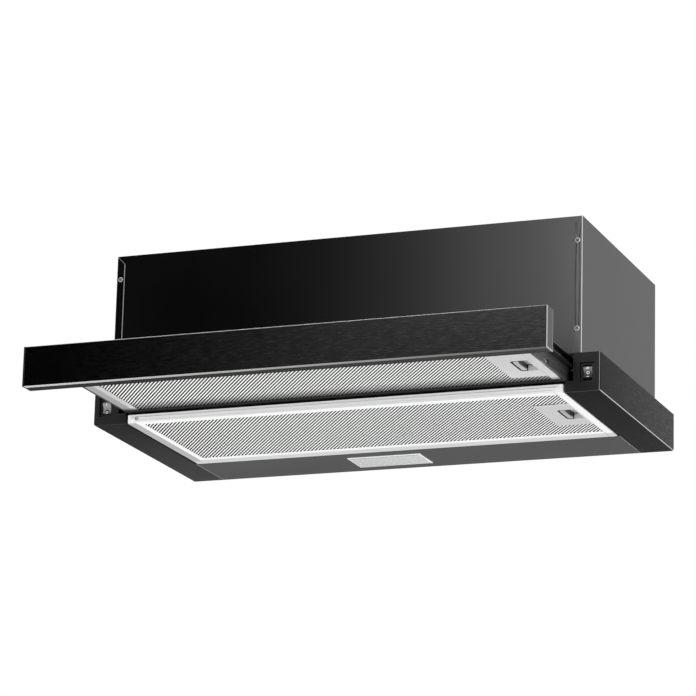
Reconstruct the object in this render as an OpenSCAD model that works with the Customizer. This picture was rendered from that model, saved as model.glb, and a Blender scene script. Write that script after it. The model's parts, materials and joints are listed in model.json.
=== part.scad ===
// Telescopic under cabinet range hood, 60 cm class, drawn with its visor pulled out.
// +X is to the right, +Y is to the wall, +Z is up. The origin is the centre of the
// four cabinet screw holes on the top face of the housing.

/* [Overall] */
// Width across the base and the visor
overall_w = 598; // [596:0.5:602]
// Depth of the base, front face to wall
base_d = 285; // [283:0.5:290]
// Height of the base
base_h = 43; // [43:0.5:46]
// Width of the housing
housing_w = 556; // [554:0.5:557]
// Depth of the housing
housing_d = 280; // [279:0.5:281]
// Total height, without the duct collar
overall_h = 198; // [196:0.5:210]
// Thickness of the sheet metal
sheet_t = 1; // [0.8:0.1:1]

/* [Visor and drawer] */
// How far the visor stands out of the base
drawer_travel = 163.5; // [150:0.5:163.5]
// Depth of the visor, front to back
visor_t = 20; // [16:0.5:24]
// Height of the visor
visor_h = 45; // [44:0.5:48]
// How far the visor hangs below the base
visor_drop = 1; // [0.5:0.1:2]

/* [Filters] */
// Width of each filter cassette
filter_w = 515.2; // [514.8:0.1:515.4]
// Depth of the base filter cassette
base_filter_d = 202; // [200:0.5:202.5]
// Depth of the drawer filter cassette
drawer_filter_d = 159.5; // [159:0.5:160]
// Thickness of a cassette
filter_t = 9.5; // [9.4:0.1:9.6]
// Height of the drawer filter above the underside of the base
drawer_filter_z = 13; // [12.8:0.1:13.2]
// Width of the frame strip at the left end
strip_left = 17; // [14:0.5:20]
// Width of the frame strip at the latch end
strip_right = 9.6; // [9.6:0.1:9.8]
// Width of the frame strip along the front
strip_front = 10; // [8:0.5:12]
// Width of the rear strip of the base filter
strip_rear = 24; // [20:0.5:28]
// Depth of the blank plate round the latch
latch_plate_len = 90; // [80:1:92]

/* [Blower and duct] */
// Outer radius of the duct spigot
duct_r = 59.5; // [59:0.1:60]
// Length of the duct spigot above its flange
duct_len = 30; // [26:1:31]
// Outer radius of the impeller
impeller_r = 46; // [44:0.5:46]
// Number of impeller blades
blade_count = 32; // [24:2:36]

/* [Mounting] */
// Spacing of the cabinet screws across the hood
screw_dx = 400; // [380:1:420]
// Spacing of the cabinet screws front to back
screw_dy = 190; // [180:1:196]
// Radius of the cabinet screw holes
screw_hole_r = 2.75; // [2.2:0.05:3]

/* [Hidden] */
$fn = 48;
W2 = overall_w / 2;
HW2 = housing_w / 2;
H = overall_h;
B = base_h;
t = sheet_t;
oy = housing_d / 2;                // origin, front to back
rail_in = 259.4;                   // inner face of each base rail
web_x = 272;                       // web that carries the slide
lip_h = 12.3;                      // height of the rail's inner lip
pocket_x = 268.8;                  // the drawer passes inside this width
DY = -drawer_travel;               // front plane of the base side of the visor
wall_x = 259.8;                    // inner face of the drawer's side walls
wall_z0 = 13.5;
wall_z1 = 41.5;
SZ = 34;                           // slide centre height
slide_y0 = 8;
slide_len = 258;
FW = filter_w / 2;
win_x1 = FW - strip_right;         // mesh window, latch end
win_x0 = -FW + strip_left;         // mesh window, left end
lp_x0 = 207;                       // latch plate, inner end
rec_x0 = 226;                      // finger recess
rec_x1 = 246.5;
rec_hy = 21;
lat_z = 4.75;                      // latch tongue height in the cassette
base_lat_y = 94.5;
drawer_lat_y = 93;               // from the front edge of the drawer cassette
dfy = DY + 2;                      // front edge of the drawer cassette
duct_y = 172;
sc_y = 162;                        // blower axis
sc_z = 117;
sc_w = 64;                         // half width inside the scroll
sw_x = 284.5;                      // switch centre
sw_z = 21;
lamp_x0 = -76; lamp_x1 = 14; lamp_y0 = 219; lamp_y1 = 265;
gland_x = 126; gland_y = 250;
screw_z = [70.4, 170];
screw_x = 272.9;
foot_x = 274.6;                    // screws between the housing's foot flange and the rail
rk_y = 8.4;                        // pivot of the rockers, behind the face
mx = 215; my = 176;              // drawer microswitch
flap_z = 8;                        // damper pin above the top panel
so_h = 8.6;                        // half height of the slide

// ---------- helpers ----------
// Working coordinates: y = 0 at the front of the base, z = 0 at its underside.
module placed() { translate([0, -oy, -H]) children(); }
module bx(a, b) { translate(a) cube(b - a); }
module cx(x0, x1, y, z, r) { translate([x0, y, z]) rotate([0, 90, 0]) cylinder(r = r, h = x1 - x0); }
module cy(y0, y1, x, z, r) { translate([x, y0, z]) rotate([-90, 0, 0]) cylinder(r = r, h = y1 - y0); }
module cz(z0, z1, x, y, r) { translate([x, y, z0]) cylinder(r = r, h = z1 - z0); }
module side(s) { if (s > 0) children(); else mirror([1, 0, 0]) children(); }
// a profile given in (x, z), run along y
module run_y(y0, y1) { translate([0, y1, 0]) rotate([90, 0, 0]) linear_extrude(height = y1 - y0) children(); }
// a profile given in (y, z), run along x
module run_x(x0, x1) { translate([x0, 0, 0]) rotate([90, 0, 90]) linear_extrude(height = x1 - x0) children(); }
// pan head screw along +y, head under y = 0
module pan_screw(r = 1.45, len = 5, hr = 2.85, hh = 1.7) {
  difference() {
    union() {
      cy(-0.7, -0.02, 0, 0, hr);
      intersection() {
        translate([0, hh * 0.55, 0]) sphere(r = hr * 1.02);
        cy(-hh, -0.69, 0, 0, hr);
      }
      cy(-0.1, len, 0, 0, r);
    }
    bx([-1.7, -hh - 2, -0.35], [1.7, -hh + 0.9, 0.35]);
    bx([-0.35, -hh - 2, -1.7], [0.35, -hh + 0.9, 1.7]);
  }
}

// ---------- housing ----------
module top_panel() {
  color([0.16, 0.16, 0.17]) placed() difference() {
    bx([-HW2 + t + 0.05, 2 * t + 0.05, H - t], [HW2 - t - 0.05, housing_d - t - 0.05, H]);
    cz(H - 9, H + 9, 0, duct_y, 56.5);
    for (sx = [-1, 1], sy = [-1, 1]) cz(H - 9, H + 9, sx * screw_dx / 2, oy + sy * screw_dy / 2, screw_hole_r);
    for (a = [45:90:315]) cz(H - 9, H + 9, 68 * cos(a), duct_y + 68 * sin(a), 1.6);
    for (p = scroll_screws()) cz(H - 9, H + 9, p[0], p[1], 1.6);
    cz(H - 9, H + 9, gland_x, gland_y, 8.1);
  }
}
module front_panel() {
  color([0.03, 0.03, 0.035]) placed() difference() {
    union() {
      bx([-HW2 + t + 0.1, t + 0.02, B + 0.05], [HW2 - t - 0.1, 2 * t, H]);
      // bottom hem
      bx([-pocket_x + 2, 2 * t - 0.01, B + 0.05], [pocket_x - 2, 9, B + 0.05 + t]);
    }
    for (s = [-1, 1], z = screw_z) cy(-9, 9, s * screw_x, z, 1.5);
  }
}
module rear_panel() {
  color([0.16, 0.16, 0.17]) placed() difference() {
    bx([-HW2 + t + 0.1, housing_d - 2 * t - 0.05, B + 0.05], [HW2 - t - 0.1, housing_d - t - 0.05, H - t - 0.05]);
    for (s = [-1, 1], z = screw_z) cy(housing_d - 9, housing_d + 9, s * screw_x, z, 1.5);
    cy(housing_d - 9, housing_d + 9, -150, 150, 2.1);
  }
}
module side_panel(s) {
  fl = 9.5;                        // flange width
  color([0.12, 0.12, 0.13]) placed() side(s) difference() {
    union() {
      // one bent sheet: front flange, side and rear flange, rounded at the front bend
      translate([0, 0, B + 0.05]) linear_extrude(height = H - B - 0.05) difference() {
        polygon([[HW2 - fl, 0], [HW2, 0], [HW2, housing_d], [HW2 - fl, housing_d], [HW2 - fl, housing_d - t], [HW2 - t, housing_d - t], [HW2 - t, t], [HW2 - fl, t]]);
        difference() {
          translate([HW2 - t, -0.1]) square([t + 0.1, t + 0.1]);
          translate([HW2 - t, t]) circle(r = t);
        }
      }
      // foot flange on the rail
      bx([HW2 - 10, 14, B + 0.05], [HW2 - t + 0.01, housing_d - 6, B + 0.05 + t]);
    }
    // 45 degree mitre at the top of the front flange
    run_y(-1, t) polygon([[HW2 - 0.4, H - 0.4], [HW2 - fl - 1, H - fl - 1], [HW2 - fl - 1, H + 1], [HW2 - 0.4, H + 1]]);
    for (z = screw_z) { cy(-9, 9, screw_x, z, 1.6); cy(housing_d - 9, housing_d + 9, screw_x, z, 1.6); }
    for (y = [40, 240]) cz(B - 3, B + 3, foot_x, y, 1.6);
    // notch for the wiring
    bx([HW2 - 11, 250, B - 1], [HW2 - t, 260, B + 3]);
  }
}
module left_side_panel() side_panel(-1);
module right_side_panel() side_panel(1);
module housing_screws() {
  color([0.8, 0.8, 0.82]) placed() for (s = [-1, 1], z = screw_z) {
    translate([s * screw_x, 0, z]) pan_screw(r = 1.4, len = 5);
    translate([s * screw_x, housing_d, z]) rotate([0, 0, 180]) pan_screw(r = 1.4, len = 5);
  }
}

// ---------- base ----------
module base_rail(s) {
  color([0.10, 0.10, 0.11]) placed() side(s) difference() {
    run_y(3, base_d) difference() {
      // outline of the bent sheet, rounded at the outer bottom edge
      union() {
        translate([W2 - 2, 2]) circle(r = 2);
        polygon([[rail_in, 0], [W2 - 2, 0], [W2 - 2, 2], [W2, 2], [W2, B], [web_x, B], [web_x, t], [rail_in + t, t], [rail_in + t, lip_h], [rail_in, lip_h]]);
      }
      polygon([[web_x + t, t], [W2 - t, t], [W2 - t, B - t], [web_x + t, B - t]]);
    }
    // slots for the filter's tabs (left) or its latch tongue (right)
    for (y = s < 0 ? [50, 152] : [base_lat_y]) bx([rail_in - 3, y - 8.5, 2.2], [rail_in + 3, y + 8.5, 7.3]);
    // screws into the housing's foot flange
    for (y = [40, 240]) cz(B - 5, B + 3, foot_x, y, 1.5);
    // screws of the slide
    for (y = [60, 225]) cx(web_x - 5, web_x + 5, y, SZ, 1.5);
    // screws of the rear bottom panel
    cz(-3, 3, rail_in + 6, base_d - 12, 1.6);
    // wiring passes through the top, inside the housing
    cz(B - 5, B + 5, 275, 255, 1.95);
  }
}
module left_base_rail() base_rail(-1);
module right_base_rail() base_rail(1);
module rear_bottom_panel() {
  y0 = base_filter_d + 1.3;
  color([0.22, 0.22, 0.23]) placed() difference() {
    union() {
      bx([-rail_in + 0.1, y0, 0], [rail_in - 0.1, base_d, t]);
      bx([-rail_in + 0.1, y0, 0], [rail_in - 0.1, y0 + t, 10.5]);
      bx([-rail_in + 0.1, base_d - t, 0], [rail_in - 0.1, base_d, B]);
      bx([-rail_in + 0.1, housing_d - t + 0.05, B - t], [rail_in - 0.1, base_d, B]);
      // ears that lie on the rail's floor
      for (s = [-1, 1]) side(s) bx([rail_in + 1.1, base_d - 20, t + 0.05], [rail_in + 11, base_d, 2 * t + 0.05]);
      for (s = [-1, 1]) side(s) bx([rail_in - 1.1, base_d - t, 14], [rail_in + 11, base_d, B - 6]);
      for (s = [-1, 1]) side(s) bx([rail_in + 1.1, base_d - t, t + 0.05], [rail_in + 11, base_d, 15]);
    }
    // the end of the rail's lip passes here
    for (s = [-1, 1]) side(s) bx([rail_in - 0.1, base_d - 30, -1], [rail_in + 1.1, base_d + 1, lip_h + 0.1]);
    bx([lamp_x0 + 3, lamp_y0 + 3, -3], [lamp_x1 - 3, lamp_y1 - 3, 3]);
    for (s = [-1, 1]) cz(-3, 5, s * (rail_in + 6), base_d - 12, 1.5);
  }
}
module front_bracket(s) {
  color([0.07, 0.07, 0.075]) placed() side(s) difference() {
    union() {
      // face plate with a rounded outer bottom corner
      run_y(0, 2.9) difference() {
        union() {
          translate([W2 - 2.5, 2.1]) circle(r = 2.1);
          polygon([[rail_in, 0], [W2 - 2.5, 0], [W2 - 2.5, 2], [W2 - 0.4, 2], [W2 - 0.4, B], [pocket_x, B], [pocket_x, lip_h], [rail_in, lip_h]]);
        }
      }
      // plug inside the rail
      bx([web_x + t + 0.2, 2.8, t + 0.2], [W2 - t - 0.2, 13, B - t - 0.2]);
      // tray of the switch pocket
      bx([sw_x - 9.6, 2.8, sw_z - 12.6], [sw_x + 9.6, 6.4, sw_z + 12.6]);
    }
    // the plug is hollow
    difference() {
      bx([web_x + t + 1.7, 1.5, t + 1.7], [W2 - t - 1.7, 14, B - t - 1.7]);
      bx([sw_x - 9.6, 1, sw_z - 12.6], [sw_x + 9.6, 6.4, sw_z + 12.6]);
      bx([200, 0, 0], [W2, 2.9, B]);
    }
    bx([sw_x - 8.1, -1, sw_z - 11.1], [sw_x + 8.1, 4.9, sw_z + 11.1]);
    bx([sw_x - 6.6, 1, sw_z - 9.7], [sw_x + 6.6, 9, sw_z + 9.7]);
  }
}
module left_front_bracket() front_bracket(-1);
module right_front_bracket() front_bracket(1);
module base_screws() {
  color([0.6, 0.6, 0.62]) placed() for (s = [-1, 1]) side(s) {
    // the rear bottom panel's ear, on the rail's floor
    translate([rail_in + 6, base_d - 12, 2 * t + 0.05]) rotate([-90, 0, 0]) pan_screw(r = 1.4, len = 2, hr = 2.4, hh = 1.2);
    // down through the housing's foot flange into the rail
    for (y = [40, 240]) translate([foot_x, y, B + 0.05 + t]) rotate([-90, 0, 0]) pan_screw(r = 1.4, len = 5, hr = 2.3, hh = 1.2);
  }
}

// ---------- drawer ----------
module drawer_frame() {
  color([0.30, 0.30, 0.31]) placed() difference() {
    union() {
      for (s = [-1, 1]) side(s) {
        bx([wall_x, DY + 0.02, wall_z0], [wall_x + t, 12, wall_z1]);
        bx([wall_x - 9, DY + 0.02, wall_z1 - t], [wall_x + t, 12, wall_z1]);
      }
      bx([-wall_x - t, DY + 0.02, wall_z0], [wall_x + t, DY + 0.02 + t, wall_z1]);
      bx([-wall_x - t, DY + 0.02, wall_z1 - t], [wall_x + t, DY + 9, wall_z1]);
      // rear cross bar, a channel
      bx([-wall_x - t, 12 - t, wall_z0], [wall_x + t, 12, wall_z1]);
      bx([-wall_x - t, -1.0, wall_z0], [wall_x + t, 12, wall_z0 + t]);
      bx([-wall_x - t, -1.0, wall_z1 - t], [wall_x + t, 12, wall_z1]);
    }
    // slots for the filter's tabs and its latch tongue
    for (y = [dfy + 35, dfy + 125]) bx([-wall_x - 3, y - 8.5, drawer_filter_z + 2.2], [-wall_x + 3, y + 8.5, drawer_filter_z + 7.3]);
    bx([wall_x - 3, dfy + drawer_lat_y - 8.5, drawer_filter_z + 2.2], [wall_x + 3, dfy + drawer_lat_y + 8.5, drawer_filter_z + 7.3]);
    // slide screws, spare holes and a cable slot in each wall
    for (s = [-1, 1]) side(s) {
      for (y = [DY + 20, -30]) cx(wall_x - 5, wall_x + 5, y, SZ, 1.5);
      for (y = [-97, -47.5]) cx(wall_x - 5, wall_x + 5, y, 18.6, 1.7);
      cx(wall_x - 5, wall_x + 5, -21.6, 25, 1.7);
      bx([wall_x - 5, -25, 18.2], [wall_x + 5, -4, 20.2]);
    }
    for (x = [-230, -90, 90, 230]) cy(DY - 3, DY + 4, x, 36.5, 1.6);
    for (x = [-180, 180]) cy(8, 16, x, 26, 3);
  }
}
module visor_outline(o) {
  // section of the folded sheet: y to the back, z up, offset inwards by o
  y0 = DY - visor_t + o; z0 = -visor_drop + o; z1 = visor_h - visor_drop - o; r = o > 0 ? 0.2 : 0.8;
  polygon(concat(
    [[DY - o, z1]],
    [for (a = [90:22.5:180]) [y0 + r + r * cos(a), z1 - r + r * sin(a)]],
    [for (a = [180:22.5:270]) [y0 + r + r * cos(a), z0 + r + r * sin(a)]],
    [[DY - o, z0]]));
}
module visor_panel() {
  y0 = DY - visor_t; z0 = -visor_drop; z1 = visor_h - visor_drop;
  color([0.05, 0.05, 0.055]) placed() difference() {
    run_x(-W2 + 2.1, W2 - 2.1) difference() {
      visor_outline(0);
      visor_outline(t);
      // the back is open between the two lips
      translate([DY - 3, 8]) square([5, 22]);
    }
    for (x = [-230, -90, 90, 230]) cy(DY - 4, DY + 4, x, 36.5, 1.5);
  }
}
module visor_cap(s) {
  y0 = DY - visor_t; z0 = -visor_drop; z1 = visor_h - visor_drop;
  color([0.38, 0.38, 0.39]) placed() side(s) {
    run_x(W2 - 2, W2) visor_outline(0);
    // rim that plugs into the folded sheet
    run_x(W2 - 10, W2 - 1.9) difference() {
      translate([y0 + t + 0.25, z0 + t + 0.25]) square([visor_t - 2 * t - 0.5, visor_h - 2 * t - 0.5]);
      translate([y0 + t + 1.75, z0 + t + 1.75]) square([visor_t - 2 * t - 3.5, visor_h - 2 * t - 3.5]);
    }
  }
}
module left_visor_cap() visor_cap(-1);
module right_visor_cap() visor_cap(1);
module visor_screws() {
  color([0.75, 0.75, 0.77]) placed() for (x = [-230, -90, 90, 230])
    translate([x, DY + 0.02 + t, 36.5]) rotate([0, 0, 180]) pan_screw(r = 1.4, len = 6, hr = 2.8, hh = 1.6);
}

// ---------- ball slides ----------

module slide_outer(s) {
  color([0.55, 0.56, 0.58]) placed() side(s) difference() {
    run_y(slide_y0, slide_y0 + slide_len) difference() {
      polygon([[web_x - 0.05, SZ - so_h], [web_x - 0.05, SZ + so_h], [263.2, SZ + so_h], [263.2, SZ + so_h - 1.2],
               [web_x - 1.25, SZ + so_h - 1.2], [web_x - 1.25, SZ - so_h + 1.2], [263.2, SZ - so_h + 1.2], [263.2, SZ - so_h]]);
    }
    for (y = [60, 225]) cx(web_x - 5, web_x + 5, y, SZ, 1.6);
  }
}
module left_slide_outer() slide_outer(-1);
module right_slide_outer() slide_outer(1);
module slide_inner(s) {
  x0 = wall_x + t + 0.05;
  color([0.12, 0.12, 0.13]) placed() side(s) difference() {
    run_y(DY + 3, DY + 3 + slide_len) polygon([[x0, SZ - 5], [x0, SZ + 5], [267.6, SZ + 5], [267.6, SZ + 3.9],
        [x0 + 1.1, SZ + 3.9], [x0 + 1.1, SZ - 3.9], [267.6, SZ - 3.9], [267.6, SZ - 5]]);
    for (y = [DY + 20, -30]) cx(x0 - 5, x0 + 5, y, SZ, 1.6);
  }
}
module left_slide_inner() slide_inner(-1);
module right_slide_inner() slide_inner(1);
// retainer with two rows of balls, between the members
module ball_cage(s) {
  ya = 10; yb = 92; bz = 6.2; n = 7;
  color([0.7, 0.7, 0.72]) placed() side(s) {
    run_y(ya, yb) polygon([[269, SZ - 6.5], [269, SZ + 6.5], [264.4, SZ + 6.5], [264.4, SZ + 5.9], [268.4, SZ + 5.9], [268.4, SZ - 5.9], [264.4, SZ - 5.9], [264.4, SZ - 6.5]]);
    for (i = [0:n - 1], k = [-1, 1]) translate([266, ya + 5 + i * (yb - ya - 10) / (n - 1), SZ + k * bz]) sphere(r = 1.14, $fn = 24);
  }
}
module left_ball_cage() ball_cage(-1);
module right_ball_cage() ball_cage(1);
module slide_screws() {
  color([0.75, 0.75, 0.77]) placed() for (s = [-1, 1], y = [60, 225]) side(s)
    translate([web_x - 1.25, y, SZ]) rotate([0, 0, -90]) pan_screw(r = 1.4, len = 4.5, hr = 2.6, hh = 0.9);
}
module drawer_slide_screws() {
  color([0.75, 0.75, 0.77]) placed() for (s = [-1, 1], y = [DY + 20, -30]) side(s)
    translate([wall_x, y, SZ]) rotate([0, 0, -90]) pan_screw(r = 1.4, len = 3.4, hr = 2.6, hh = 1.2);
}

// ---------- filter cassettes ----------
// drawn with its front edge at y = 0 and its underside at z = 0
module cassette_frame(d, rear, tabs, ly) {
  difference() {
    union() {
      difference() {
        // outer corners rounded by 3 mm
        linear_extrude(height = filter_t) union() {
          translate([-FW + 3, 0]) square([2 * FW - 6, d]);
          translate([-FW, 3]) square([2 * FW, d - 6]);
          for (x = [-FW + 3, FW - 3], y = [3, d - 3]) translate([x, y]) circle(r = 3);
        }
        // channel that holds the pad
        bx([-FW + 0.9, 0.9, 0.9], [FW - 0.9, d - 0.9, filter_t - 0.9]);
        // window
        bx([win_x0, strip_front, -1], [win_x1, d - rear, filter_t + 1]);
      }
      for (y = tabs) bx([-FW - 4.4, y - 7, lat_z - 0.6], [-FW + 1, y + 7, lat_z + 0.6]);
    }
    bx([FW - 3, ly - 7.5, lat_z - 1], [FW + 3, ly + 7.5, lat_z + 1]);
    // rivets at the corners of the front edge
    for (s = [-1, 1]) cy(-2, 1.5, s * (FW - 8), filter_t / 2, 1.4);
  }
  for (s = [-1, 1]) { cy(-0.5, 1.2, s * (FW - 8), filter_t / 2, 1.4); cy(-0.5, 0, s * (FW - 8), filter_t / 2, 2.2); }
}
// three layers of expanded aluminium, drawn as plain sheets of their own mass
module cassette_mesh(d, ly) {
  difference() {
    for (z = [1, 4.6, filter_t - 1.3]) bx([-FW + 1.1, 1.4, z], [FW - 1.1, d - 1.1, z + 0.3]);
    bx([lp_x0 + 2, ly - 24, -1], [FW + 1, ly + 24, filter_t + 1]);
    for (s = [-1, 1]) cy(-2, 3, s * (FW - 8), filter_t / 2, 1.7);
  }
}
module latch_plate(ly) {
  difference() {
    union() {
      bx([lp_x0, ly - latch_plate_len / 2, 0], [win_x1 - 0.06, ly + latch_plate_len / 2, 0.9]);
      // walls of the finger recess
      bx([rec_x0 - 0.9, ly - rec_hy - 0.9, 0], [rec_x1 + 0.9, ly + rec_hy + 0.9, 6.6]);
      // side walls, cover and the stop of the spring
      for (s = [-1, 1]) bx([lp_x0 + 1, ly + s * 23.4 - 0.4, 0.5], [win_x1 - 0.06, ly + s * 23.4 + 0.4, filter_t]);
      bx([lp_x0 + 1, ly - 23.8, filter_t - 0.8], [win_x1 - 0.06, ly + 23.8, filter_t]);
      bx([lp_x0 + 2, ly - 4, 0.5], [lp_x0 + 3.15, ly + 4, filter_t - 0.4]);
    }
    translate([0, 0, -1]) linear_extrude(height = filter_t - 0.2) union() {
      translate([rec_x0 + 5, ly - rec_hy]) square([rec_x1 - rec_x0 - 5, 2 * rec_hy]);
      translate([rec_x0, ly - rec_hy + 5]) square([6, 2 * rec_hy - 10]);
      for (k = [-1, 1]) translate([rec_x0 + 5, ly + k * (rec_hy - 5)]) circle(r = 5);
    }
    // tongue passes through the right wall
    bx([rec_x1 - 1, ly - 7.5, lat_z - 1], [rec_x1 + 2, ly + 7.5, lat_z + 1]);
  }
}
module latch_slider(ly) {
  // floor plate above the recess, the spring's tab, finger lip and tongue
  bx([lp_x0 + 14.7, ly - 19, 7.0], [rec_x1 + 1.3, ly + 19, 8.2]);
  bx([lp_x0 + 14.7, ly - 4, 3.5], [lp_x0 + 15.7, ly + 4, 7.1]);
  // finger lip at the plate's level, rounded like the recess, on a web from the floor plate
  translate([0, 0, 0.2]) linear_extrude(height = 1.1) union() {
    translate([rec_x0 + 2.4, ly - 14.6]) square([5, 29.2]);
    translate([rec_x0 + 5.4, ly - 17.6]) square([2, 35.2]);
    for (k = [-1, 1]) translate([rec_x0 + 5.4, ly + k * 14.6]) circle(r = 3);
  }
  bx([rec_x0 + 6.3, ly - 17.6, 1.2], [rec_x0 + 7.4, ly + 17.6, 7.1]);
  // tongue, bent down from the floor plate
  bx([rec_x1 - 4.6, ly - 7, lat_z - 0.6], [FW + 1.4, ly + 7, lat_z + 0.6]);
  bx([rec_x1 - 4.6, ly - 7, lat_z - 0.6], [rec_x1 - 3.4, ly + 7, 7.1]);
}
// compression coil between the pad's pocket and the slider
module coil(len, r, wire, turns) {
  n = 12; steps = turns * n; m = 6;
  pts = [for (i = [0:steps], j = [0:m - 1]) let (a = 360 * i / n, b = 360 * j / m, rr = r + wire * cos(b))
         [len * i / steps + wire * sin(b), rr * cos(a), rr * sin(a)]];
  faces = concat(
    [for (i = [0:steps - 1], j = [0:m - 1]) let (k = (j + 1) % m) [i * m + j, (i + 1) * m + k, i * m + k]],
    [for (i = [0:steps - 1], j = [0:m - 1]) let (k = (j + 1) % m) [i * m + j, (i + 1) * m + j, (i + 1) * m + k]],
    [for (j = [1:m - 2]) [0, j, j + 1]],
    [for (j = [1:m - 2]) [steps * m, steps * m + j + 1, steps * m + j]]);
  polyhedron(points = pts, faces = faces, convexity = 8);
}
module latch_spring(ly) translate([lp_x0 + 3.5, ly, 5.6]) coil(10.8, 1.6, 0.3, 6);

module at_base_filter() placed() children();
module at_drawer_filter() placed() translate([0, dfy, drawer_filter_z]) children();

module base_filter_frame() color([0.82, 0.83, 0.83]) at_base_filter() cassette_frame(base_filter_d, strip_rear, [50, 152], base_lat_y);
module base_filter_mesh() color([0.6, 0.6, 0.6]) at_base_filter() cassette_mesh(base_filter_d, base_lat_y);
module base_latch_plate() color([0.80, 0.81, 0.81]) at_base_filter() latch_plate(base_lat_y);
module base_filter_latch() color([0.7, 0.7, 0.71]) at_base_filter() latch_slider(base_lat_y);
module base_latch_spring() color([0.75, 0.75, 0.77]) at_base_filter() latch_spring(base_lat_y);
module drawer_filter_frame() color([0.82, 0.83, 0.83]) at_drawer_filter() cassette_frame(drawer_filter_d, 2.5, [35, 125], drawer_lat_y);
module drawer_filter_mesh() color([0.6, 0.6, 0.6]) at_drawer_filter() cassette_mesh(drawer_filter_d, drawer_lat_y);
module drawer_latch_plate() color([0.80, 0.81, 0.81]) at_drawer_filter() latch_plate(drawer_lat_y);
module drawer_filter_latch() color([0.7, 0.7, 0.71]) at_drawer_filter() latch_slider(drawer_lat_y);
module drawer_latch_spring() color([0.75, 0.75, 0.77]) at_drawer_filter() latch_spring(drawer_lat_y);

// ---------- lamp ----------
module lamp_housing() {
  color([0.85, 0.85, 0.85]) placed() difference() {
    bx([lamp_x0 - 3, lamp_y0 - 3, t + 0.05], [lamp_x1 + 3, lamp_y1 + 3, 36]);
    bx([lamp_x0 - 2, lamp_y0 - 2, -1], [lamp_x1 + 2, lamp_y1 + 2, 35]);
    // lead enters at the top
    cz(30, 40, lamp_x0 + 8, lamp_y1 - 8, 3);
    // socket passes through the end
    cx(lamp_x0 - 9, lamp_x0 + 2, (lamp_y0 + lamp_y1) / 2, 19, 11.1);
  }
}
module lamp_socket() {
  y = (lamp_y0 + lamp_y1) / 2;
  color([0.9, 0.9, 0.88]) placed() difference() {
    union() { cx(lamp_x0 - 18, lamp_x0 + 14, y, 19, 11); cx(lamp_x0 - 5.2, lamp_x0 - 3.2, y, 19, 14); }
    cx(lamp_x0 - 8, lamp_x0 + 20, y, 19, 7.3);
  }
}
module lamp_bulb() {
  y = (lamp_y0 + lamp_y1) / 2;
  color([0.95, 0.95, 0.9]) placed() translate([lamp_x0 - 6, y, 19]) rotate([0, 90, 0]) rotate_extrude()
    polygon([[0, 0], [4, 0], [7, 3], [7, 21], [9, 24], [11, 32], [11.5, 44], [11, 56], [9.5, 66], [7, 73], [4, 77], [0, 78.5]]);
}
module lamp_lens() {
  // snap-in lens with a stepped rim, 0.9 mm proud of the panel
  color([0.92, 0.92, 0.9]) placed() difference() {
    union() {
      bx([lamp_x0, lamp_y0, -1.1], [lamp_x1, lamp_y1, -0.05]);
      bx([lamp_x0 + 3.3, lamp_y0 + 3.3, -0.06], [lamp_x1 - 3.3, lamp_y1 - 3.3, 2.6]);
      bx([lamp_x0 + 2.5, lamp_y0 + 2.5, -1.6], [lamp_x1 - 2.5, lamp_y1 - 2.5, -1.0]);
    }
    bx([lamp_x0 + 4.8, lamp_y0 + 4.8, 0.2], [lamp_x1 - 4.8, lamp_y1 - 4.8, 5]);
  }
}

// ---------- switches ----------

module switch_body(s) {
  color([0.05, 0.05, 0.05]) placed() side(s) difference() {
    union() {
      bx([sw_x - 7.6, 2.9, sw_z - 10.6], [sw_x + 7.6, 4.85, sw_z + 10.6]);
      bx([sw_x - 6.5, 4.8, sw_z - 9.6], [sw_x + 6.5, 20, sw_z + 9.6]);
      for (z = [-6, 0, 6]) bx([sw_x - 2.4, 19.9, sw_z + z - 0.4], [sw_x + 2.4, 27, sw_z + z + 0.4]);
    }
    // well of the rocker
    bx([sw_x - 5.1, 1, sw_z - 8.7], [sw_x + 5.1, 15, sw_z + 8.7]);
    cx(sw_x - 6.55, sw_x + 6.55, rk_y, sw_z, 1.05);
  }
}
// two slanted faces that meet at the middle, ends rounded about the pivot
module rocker(s, tilt) {
  color([0.12, 0.12, 0.12]) placed() side(s) translate([sw_x, rk_y, sw_z]) rotate([tilt, 0, 0]) {
    run_x(-4.8, 4.8) intersection() {
      circle(r = 8.3, $fn = 64);
      polygon([[-4.3, 0], [-7.6, 9], [3.5, 9], [3.5, -9], [-7.6, -9]]);
    }
    cx(-6.4, 6.4, 0, 0, 1);
  }
}
module light_switch_body() switch_body(-1);
module fan_switch_body() switch_body(1);
module light_rocker() rocker(-1, 10);
module fan_rocker() rocker(1, 0);

// drawer microswitch on the floor behind the drawer, its plunger faces the cross bar

module drawer_microswitch() {
  color([0.1, 0.1, 0.1]) placed() difference() {
    union() {
      bx([mx - 10, my + 8, 22], [mx + 10, my + 22, 33]);
      // arm that reaches forward from the rear bottom panel
      bx([mx - 8, my + 9, 10.6], [mx + 8, my + 21, 22.01]);
      bx([mx - 8, base_filter_d + 1.35 + t, t + 0.05], [mx + 8, base_filter_d + 16, 2 * t + 0.05]);
      bx([mx - 8, base_filter_d + 1.35 + t, t + 0.05], [mx + 8, base_filter_d + 2.35 + 2 * t, 12]);
      bx([mx - 8, my + 9, 10.7], [mx + 8, base_filter_d + 2.35 + 2 * t, 12]);
    }
    cy(my - 3, my + 15, mx, 27.5, 2.05);
  }
}
module microswitch_plunger() {
  color([0.8, 0.15, 0.12]) placed() { cy(my, my + 11, mx, 27.5, 1.97); cy(my - 0.6, my + 0.01, mx, 27.5, 1.4); }
}

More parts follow.
